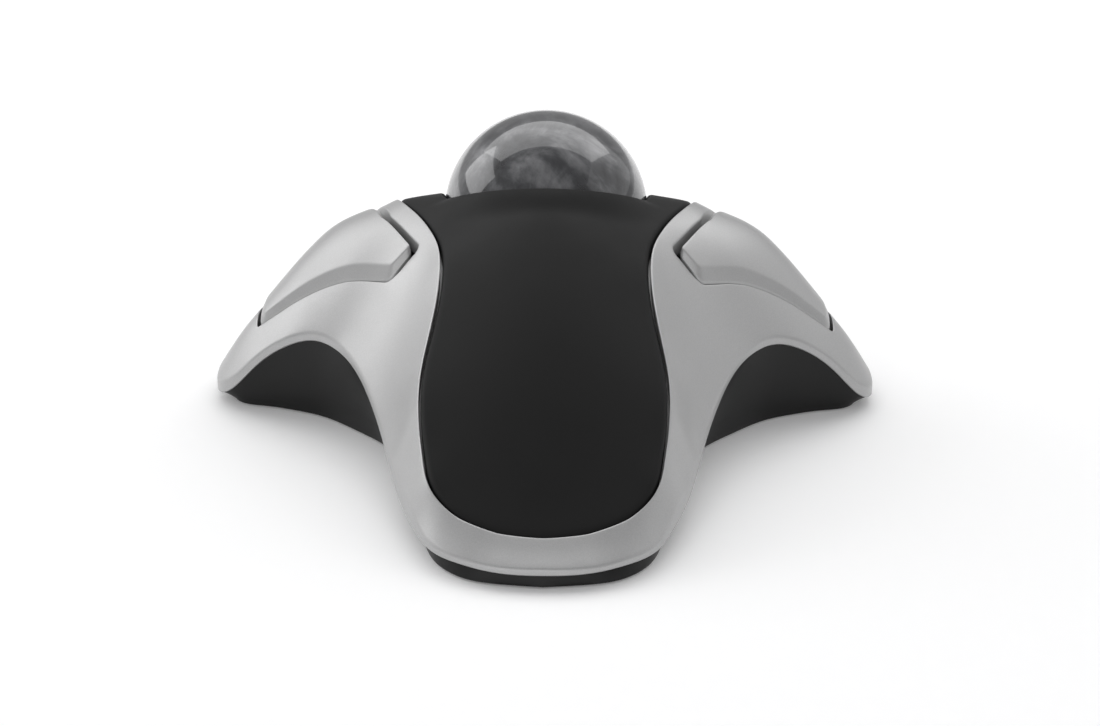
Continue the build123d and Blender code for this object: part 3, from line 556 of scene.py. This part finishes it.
SLOT_MATERIALS = {
    "base_black": BASE,
    "silver_shell": SILVER,
    "silver_button": SILVER_BUTTON,
    "palm_black": PALM,
    "cup_black": CUP,
    "ball_core": BALL,
    "ball_coat": BALL,
    "bearing": plain("bearing_ceramic", (0.85, 0.84, 0.80), 0.15),
    "steel": plain("zinc_steel", (0.55, 0.56, 0.58), 0.35, 1.0, 1500),
    "board": plain("solder_mask", (0.02, 0.13, 0.05), 0.35, 0.0, 400),
    "tinned": plain("tinned_metal", (0.70, 0.70, 0.68), 0.3, 1.0, 1200),
    "switch_black": plain("switch_black", (0.02, 0.02, 0.022), 0.45),
    "plunger_white": plain("white_nylon", (0.80, 0.78, 0.72), 0.4, 0.0, 900, 0.05),
    "chip_black": plain("chip_resin", (0.018, 0.018, 0.02), 0.5, 0.0, 2500),
    "lens_clear": plain("clear_acrylic", (0.9, 0.92, 0.94), 0.05, 0.0, 300, 0.03,
                        Transmission_Weight=0.9),
    "led_red": plain("red_led", (0.6, 0.02, 0.015), 0.15, 0.0, 300, 0.1,
                     Transmission_Weight=0.5),
    "capacitor": plain("capacitor_can", (0.55, 0.56, 0.58), 0.3, 0.9, 1200),
    "grommet_rubber": plain("grommet_rubber", (0.018, 0.018, 0.018), 0.65, 0.0, 1600),
    "feet_rubber": plain("feet_rubber", (0.03, 0.03, 0.03), 0.75, 0.0, 1400),
}


def dress_cad_nodes():
    """Every CAD node that stays gets its slot's procedural material."""
    for entry in frame["record"]["subparts"]:
        node = NODES[entry["node"]]
        for slot in node.material_slots:
            slot.material = SLOT_MATERIALS[entry["material_slot"]]


# ---------------------------------------------------------------- silver shell
TAIL_X = 17.0
TAIL_Y = 53.2
SILVER_SKIN = 1.2
SILVER_EDGE_ROUND = 0.42
PANEL_EDGE_ROUND = 0.45
PANEL_WALL = 3.0
COVER_LEDGE = 1.8
REAR_START = 50.0

WINDOW_GAP = 0.35
# The gap is this much less at the button's front and more at its outer end.
WINDOW_FRONT_LESS = 0.2
WINDOW_END_MORE = 0.35
WINDOW_SWEEP = 1.1
WINDOW_WALL = 3.2
WINDOW_ROUND = 0.3
BUTTON_HEEL_ROUND = 2.0
BUTTON_TIP_ROUND = 1.1
BUTTON_CORNER_ROUND = 1.4


def silver_lower(x, y):
    return silver_height(x, y) - SILVER_SKIN


def button_loop(step=BUTTON_STEP):
    """The right button's plan outline, anticlockwise from its round inner tip."""
    front_side = even(fine_curve(BUTTON_FRONT, False), step)
    rear_side = even(fine_curve(BUTTON_REAR, False), step)
    sides = np.vstack((front_side, rear_side[1:]))
    tip = np.array(BUTTON_TIP)
    rear = np.linspace(sides[-1], tip, int(np.linalg.norm(sides[-1] - tip) / step) + 1)[1:]
    front = np.linspace(tip, sides[0], int(np.linalg.norm(sides[0] - tip) / step) + 1)[1:-1]
    loop = round_corner(np.vstack((sides, rear, front)), 0, BUTTON_HEEL_ROUND)
    rounds = ((BUTTON_TIP, BUTTON_TIP_ROUND), (BUTTON_CORNER, BUTTON_CORNER_ROUND))
    for corner, radius in rounds:
        nearest = np.argmin(np.linalg.norm(loop - corner, axis=1))
        loop = round_corner(loop, int(nearest), radius)
    return loop


def flipped(loop):
    """The same loop on the left side, still anticlockwise."""
    other = np.array(loop)[::-1].copy()
    other[:, 0] *= -1
    return other


def window_loop():
    """The opening round a button: an even gap, and room at its inner end for the press."""
    loop = button_loop()
    outward = offset(loop, -1.0) - loop
    outward /= np.linalg.norm(outward, axis=1)[:, None]
    front = smooth(-outward[:, 1], 0.5, 0.8) * smooth(loop[:, 0], 29.0, 36.0)
    end = smooth(outward[:, 0], 0.6, 0.95)
    gap = WINDOW_GAP - WINDOW_FRONT_LESS * front + WINDOW_END_MORE * end
    grown = loop + outward * gap[:, None]
    grown[:, 0] -= WINDOW_SWEEP * np.clip(-1.5 * outward[:, 0], 0, 1)
    return grown


def silver_loop():
    """The horseshoe's edge, anticlockwise: plan points, foot height, edge rounding and ledge."""
    outer = half_curve(SILVER_EDGE, EDGE_STEP, True)
    outer = outer[(outer[:, 1] < REAR_START) | (outer[:, 0] > TAIL_X)]
    inner = half_curve(PANEL_EDGE, EDGE_STEP, False)
    inner = inner[inner[:, 1] < TAIL_Y][::-1]
    sill = silver_height(inner[:, 0], inner[:, 1]) - PANEL_WALL
    outer_finish = np.tile((SILVER_EDGE_ROUND, 0.0), (len(outer), 1))
    inner_finish = np.tile((PANEL_EDGE_ROUND, COVER_LEDGE), (len(inner), 1))
    outer_side = np.column_stack((outer[:, :3], outer_finish))
    inner_side = np.column_stack((inner[:, :2], sill, inner_finish))
    tail = np.linspace(outer_side[-1], inner_side[0], 4)[1:-1]
    loop = mirrored(np.vstack((outer_side, tail, inner_side)))
    return loop[:, :2], *loop[:, 2:].T


def build_silver():
    loop, foot, radius, ledge = silver_loop()
    outer = rounded_rim(loop, silver_height, radius, foot, silver_lower, ledge=ledge)
    holes = []
    for window in (window_loop(), flipped(window_loop())):
        window = window[::-1]
        depth = silver_height(window[:, 0], window[:, 1]) - WINDOW_WALL
        holes.append(rounded_rim(window, silver_height, WINDOW_ROUND, depth, silver_lower, 4))
    points, faces = plate(outer, holes, silver_height, silver_lower)
    make_piece("silver_shell", points, faces, SILVER, "housing", ("upper_shell",))


# ---------------------------------------------------------------- palm cover
COVER_GAP = 0.45
COVER_SKIN = 1.8
COVER_WALL = 2.4
COVER_TAIL_GAP = 0.15
COVER_CORNER_ROUND = 1.2
COVER_EDGE_ROUND = 0.9
COVER_TAIL_ROUND = 0.5
RIM_WALL = 2.0
RIM_STEPS = 5


def cover_lower(x, y):
    return cover_height(x, y) - COVER_SKIN


def rim_rings(count=150):
    """Rings of the ball's opening: over the bead and down inside, round the ball."""
    turn = np.linspace(0, 2 * math.pi, count, endpoint=False)
    plan = rim_point(turn, RIM_RADIUS + RIM_BEAD)[:, :2]
    rings = [lifted(plan, cover_height)]
    inner = rim_point(turn, RIM_RADIUS, RIM_RISE - RIM_BEAD)
    above = cover_height(inner[:, 0], inner[:, 1]) - RIM_BEAD
    inner[:, 2] = np.maximum(inner[:, 2], above)
    for step in range(1, RIM_STEPS + 1):
        angle = step / RIM_STEPS * math.pi / 2
        edge = rim_point(turn, RIM_RADIUS + RIM_BEAD * (1 - math.sin(angle)))[:, :2]
        blend = 1 - math.cos(angle)
        rings.append(lifted(edge, cover_height) * (1 - blend) + blend * inner)
    rings.append(rim_point(turn, RIM_RADIUS, RIM_RISE - RIM_WALL))
    rings.append(lifted(plan, cover_lower))
    return rings


def build_cover():
    """The palm cover fills what the horseshoe leaves free, less a gap, and has the ball's hole."""
    side = half_curve(PANEL_EDGE, EDGE_STEP, False)
    rear = half_curve(SILVER_EDGE, EDGE_STEP, True)
    side = side[side[:, 1] < TAIL_Y, :2]
    rear = rear[(rear[:, 1] > REAR_START) & (rear[:, 0] < TAIL_X), :2]
    join = np.linspace(side[-1], rear[0], 4)[1:-1]
    loop = mirrored(np.vstack((side, join, rear)))
    for end in (rear[0], rear[0] * (-1, 1)):
        nearest = np.argmin(np.linalg.norm(loop - end, axis=1))
        loop = round_corner(loop, int(nearest), COVER_CORNER_ROUND)
    loop = offset(loop, COVER_GAP)
    foot = cover_height(loop[:, 0], loop[:, 1]) - COVER_WALL
    tail = loop[:, 1] > TAIL_Y
    edge = np.array(SILVER_EDGE[:-4:-1])
    edge_z = np.interp(np.abs(loop[tail, 0]), edge[:, 0], edge[:, 2])
    foot[tail] = edge_z + COVER_TAIL_GAP
    radius = np.interp(loop[:, 1], (49.0, 52.0), (COVER_EDGE_ROUND, COVER_TAIL_ROUND))
    outer = rounded_rim(loop, cover_height, radius, foot, cover_lower, 6)
    points, faces = plate(outer, [[r[::-1] for r in rim_rings()]], cover_height, cover_lower)
    make_piece("palm_cover_skin", points, faces, PALM, "housing", ("palm_cover",))


# ---------------------------------------------------------------- buttons
BUTTON_SKIN = 1.4
BUTTON_SKIRT = 2.0
BUTTON_SHARP = 28
BUTTON_NET = 0.9
# Widths of the bevel at the front, at the rear and along the rest.
FRONT_BEVEL = 1.0
REAR_BEVEL = 0.75
SIDE_BEVEL = 0.45

button_proud = thin_plate(BUTTON_PROUD, 0.5)


def button_height(x, y):
    """A button's top: domed towards its rear, lower at its inner and outer ends."""
    return silver_height(x, y) + button_proud(x, y)


def button_lower(x, y):
    return button_height(x, y) - BUTTON_SKIN


def soften(values, width=6):
    """Values round a closed loop, blurred along it."""
    weights = np.exp(-0.5 * (np.arange(-2 * width, 2 * width + 1) / (0.6 * width)) ** 2)
    wrapped = np.concatenate((values[-2 * width:], values, values[:2 * width]))
    return np.convolve(wrapped, weights / weights.sum(), "valid")


def build_button(word, flip):
    loop = button_loop()
    x, y = loop[:, 0], loop[:, 1]
    ahead = np.roll(loop, -1, axis=0) - np.roll(loop, 1, axis=0)
    facing_front = ahead[:, 0] > 0.2 * np.linalg.norm(ahead, axis=1)
    bevel = np.where(facing_front & (x > 28.5), FRONT_BEVEL, SIDE_BEVEL)
    bevel = soften(np.where(~facing_front & (y > 20.0), REAR_BEVEL, bevel))
    if flip:
        loop, bevel = flipped(loop), bevel[::-1]
    rings = []
    for width, drop in ((0.3, 0.0), (0.08, 0.03), (-0.08, 0.14), (-0.18, 0.32)):
        ring = lifted(offset(loop, bevel + width), button_height)
        ring[:, 2] -= drop
        rings.append(ring)
    for width, rise in ((0.1, 0.25), (0.0, 0.0), (0.0, -BUTTON_SKIRT)):
        ring = lifted(offset(loop, width), silver_height)
        ring[:, 2] += rise
        rings.append(ring)
    under = lifted(offset(loop, bevel + 0.3), silver_height)
    under[:, 2] -= BUTTON_SKIRT
    rings.append(under)
    rings.append(lifted(offset(loop, bevel + 0.3), button_lower))
    points, faces = plate(rings, [], button_height, button_lower, BUTTON_NET)
    make_piece(f"{word}_button_cap", points, faces, SILVER_BUTTON, f"{word}_button",
               (f"{word}_button",), BUTTON_SHARP)


# ---------------------------------------------------------------- base
# The tub's underside comes this near the desk, lower than the moulding sits on its feet, so its
# black fills the shaded gap under the base: a painted shade.
BASE_BOTTOM = 0.3
BASE_FLOOR = 2.4
BASE_EDGE_FLOOR = 1.6
BASE_EDGE = 0.5
BASE_LIP_INSET = 0.7
BASE_LIP_GAP = 0.12
BASE_LIP_WIDTH = 0.8
BASE_HEEL = 0.3
BASE_STEP = 1.0
BASE_NET = 3.0
HOLE_TOP = 4.7
HOLE_RADIUS = 2.5
HOLE_COLLAR = 3.2
RECESS_TOP = 1.45
RECESS_RADIUS = 5.1
RECESS_SEAT = 4.2
SCREW_PLACES = [(26.5, 0.5), (37.0, 40.0), (11.0, -30.0), (11.0, -12.0), (15.5, 18.0), (15.5, 37.0)]
FOOT_PLACES = [(12.0, -42.0), (53.0, 24.0)]
REAR_FOOT = (0.0, 45.0)


def circle(place, radius, count):
    turn = np.linspace(0, 2 * math.pi, count, endpoint=False)
    return np.column_stack((place[0] + radius * np.cos(turn), place[1] - radius * np.sin(turn)))


def base_holes():
    """Screw counterbores and foot recesses, as rings from the underside to the inner floor."""
    holes = []
    for x, y in SCREW_PLACES:
        for place in ((x, y), (-x, y)):
            holes.append([at_level(circle(place, radius, 24), z) for radius, z in (
                (HOLE_RADIUS + 0.2, BASE_BOTTOM), (HOLE_RADIUS, BASE_BOTTOM + 0.2),
                (HOLE_RADIUS, HOLE_TOP), (HOLE_COLLAR, HOLE_TOP), (HOLE_COLLAR, BASE_FLOOR))])
    for place in FOOT_PLACES + [(-x, y) for x, y in FOOT_PLACES] + [REAR_FOOT]:
        holes.append([at_level(circle(place, radius, 36), z) for radius, z in (
            (RECESS_RADIUS + 0.15, BASE_BOTTOM), (RECESS_RADIUS, BASE_BOTTOM + 0.15),
            (RECESS_RADIUS, RECESS_TOP), (RECESS_SEAT, RECESS_TOP), (RECESS_SEAT, BASE_FLOOR))])
    return holes


def build_base():
    """The black tub: its wall leans from the foot, just off the desk, to the lip; the foot is set
    low, so its black stands in as painted shade for the gap under the base.
    """
    both = [edge[:3] + floor for edge, floor in zip(SILVER_EDGE, FLOOR_EDGE)]
    half = half_curve(both, BASE_STEP, True)
    top, foot = mirrored(half[:, :3]), mirrored(half[:, 3:])
    lip = offset(top[:, :2], BASE_LIP_INSET)
    lip_z = top[:, 2] - BASE_LIP_GAP
    heel_z = np.minimum(BASE_BOTTOM + BASE_HEEL, lip_z - 0.3)
    rings = [
        at_level(offset(foot, BASE_EDGE), BASE_BOTTOM),
        at_level(offset(foot, 0.12), BASE_BOTTOM + 0.08),
        at_level(foot, heel_z),
    ]
    for step in (0.25, 0.5, 0.75, 0.93):
        plan = foot + (lip - foot) * step ** 1.2
        rings.append(at_level(plan, heel_z * (1 - step) + lip_z * step))
    rings.append(at_level(lip, lip_z))
    rings.append(at_level(offset(lip, BASE_LIP_WIDTH), lip_z))
    rings.append(at_level(offset(foot, BASE_EDGE), BASE_EDGE_FLOOR))

    def bottom(x, y):
        return np.full(np.shape(x), BASE_BOTTOM)

    def inner(x, y):
        return np.full(np.shape(x), BASE_FLOOR)

    points, faces = plate(rings, base_holes(), bottom, inner, BASE_NET)
    make_piece("base_tub", points, faces, BASE, "housing", ("base_shell",))


# ---------------------------------------------------------------- ball
BALL_CUTS = 39
BALL_UNDERSIZE = 0.02


def build_ball():
    """A sphere of even square faces, made from a cube, just inside the CAD ball's surface."""
    shape = bmesh.new()
    bmesh.ops.create_cube(shape, size=2)
    bmesh.ops.subdivide_edges(shape, edges=shape.edges[:], cuts=BALL_CUTS, use_grid_fill=True)
    points = np.array([v.co for v in shape.verts])
    points = np.tan(points * math.pi / 4)
    points /= np.linalg.norm(points, axis=1)[:, None]
    faces = [tuple(v.index for v in face.verts) for face in shape.faces]
    shape.free()
    points = BALL_CENTRE + points * (BALL_RADIUS - BALL_UNDERSIZE)
    make_piece("ball_marbled", points, faces, BALL, "ball", ("ball_coat", "ball_core"))


# ---------------------------------------------------------------- studio
def build_floor():
    bpy.ops.mesh.primitive_plane_add(size=12, location=(0, 3, 0))
    floor = bpy.context.object
    floor.name = "studio_floor"
    paper = Nodes("studio_paper")
    paper.link(paper.ramp(paper.noise(400, 3), [(0.3, 0.95), (0.7, 0.97)]),
               paper.shader.inputs["Base Color"])
    paper.set(Roughness=0.7, Emission_Color=(1, 1, 1, 1), Emission_Strength=0.1)
    floor.data.materials.append(paper.material)


def softbox(name, place, target, size, power):
    light = bpy.data.lights.new(name, "AREA")
    light.shape = "RECTANGLE"
    light.size, light.size_y = size
    light.energy = power
    lamp = bpy.data.objects.new(name, light)
    lamp.location = place
    lamp.rotation_euler = (Vector(target) - Vector(place)).to_track_quat("-Z", "Y").to_euler()
    bpy.context.scene.collection.objects.link(lamp)


def build_world():
    """A soft studio surround, brighter on the left than on the right."""
    world = bpy.data.worlds.new("studio")
    bpy.context.scene.world = world
    world.use_nodes = True
    tree = world.node_tree
    place = tree.nodes.new("ShaderNodeTexCoord")
    split = tree.nodes.new("ShaderNodeSeparateXYZ")
    tree.links.new(place.outputs["Generated"], split.inputs[0])
    spread = tree.nodes.new("ShaderNodeMapRange")
    spread.inputs["From Min"].default_value = -1.0
    tree.links.new(split.outputs["X"], spread.inputs["Value"])
    ramp = tree.nodes.new("ShaderNodeValToRGB")
    ramp.color_ramp.elements[0].color = (0.42, 0.42, 0.425, 1)
    ramp.color_ramp.elements[1].color = (0.34, 0.34, 0.345, 1)
    tree.links.new(spread.outputs["Result"], ramp.inputs["Fac"])
    background = tree.nodes["Background"]
    tree.links.new(ramp.outputs["Color"], background.inputs["Color"])
    background.inputs["Strength"].default_value = 1.0


def build_studio():
    build_floor()
    build_world()
    bpy.context.scene.view_settings.view_transform = "Standard"
    softbox("overhead", (0, 0.75, 1.15), (0, 0, 0.02), (2.6, 1.1), 15.2)
    softbox("left", (-1.1, 0.4, 0.55), (0, 0, 0.03), (0.9, 0.7), 4.2)
    softbox("right", (1.1, 0.3, 0.6), (0, 0, 0.03), (1.6, 1.0), 2.2)
    softbox("front", (-0.3, -1.2, 0.28), (0, 0, 0.03), (1.3, 0.4), 2.6)



CAMERA_PLACE = Vector((0.0010, -0.4815, 0.252))
CAMERA_DOWN = math.radians(26.0)
CAMERA_LENS = 91.6
CAMERA_ROLL = math.radians(0.45)


def build_camera():
    camera = bpy.data.objects.new("camera", bpy.data.cameras.new("camera"))
    camera.data.lens = CAMERA_LENS
    camera.data.sensor_width = 36
    camera.data.clip_start = 0.01
    turn = Matrix.Rotation(math.pi / 2 - CAMERA_DOWN, 4, "X") @ Matrix.Rotation(CAMERA_ROLL, 4, "Z")
    camera.matrix_world = Matrix.Translation(CAMERA_PLACE) @ turn
    bpy.context.scene.collection.objects.link(camera)
    bpy.context.scene.camera = camera


dress_cad_nodes()
build_silver()
build_cover()
build_button("right", False)
build_button("left", True)
build_base()
build_ball()
build_studio()
build_camera()
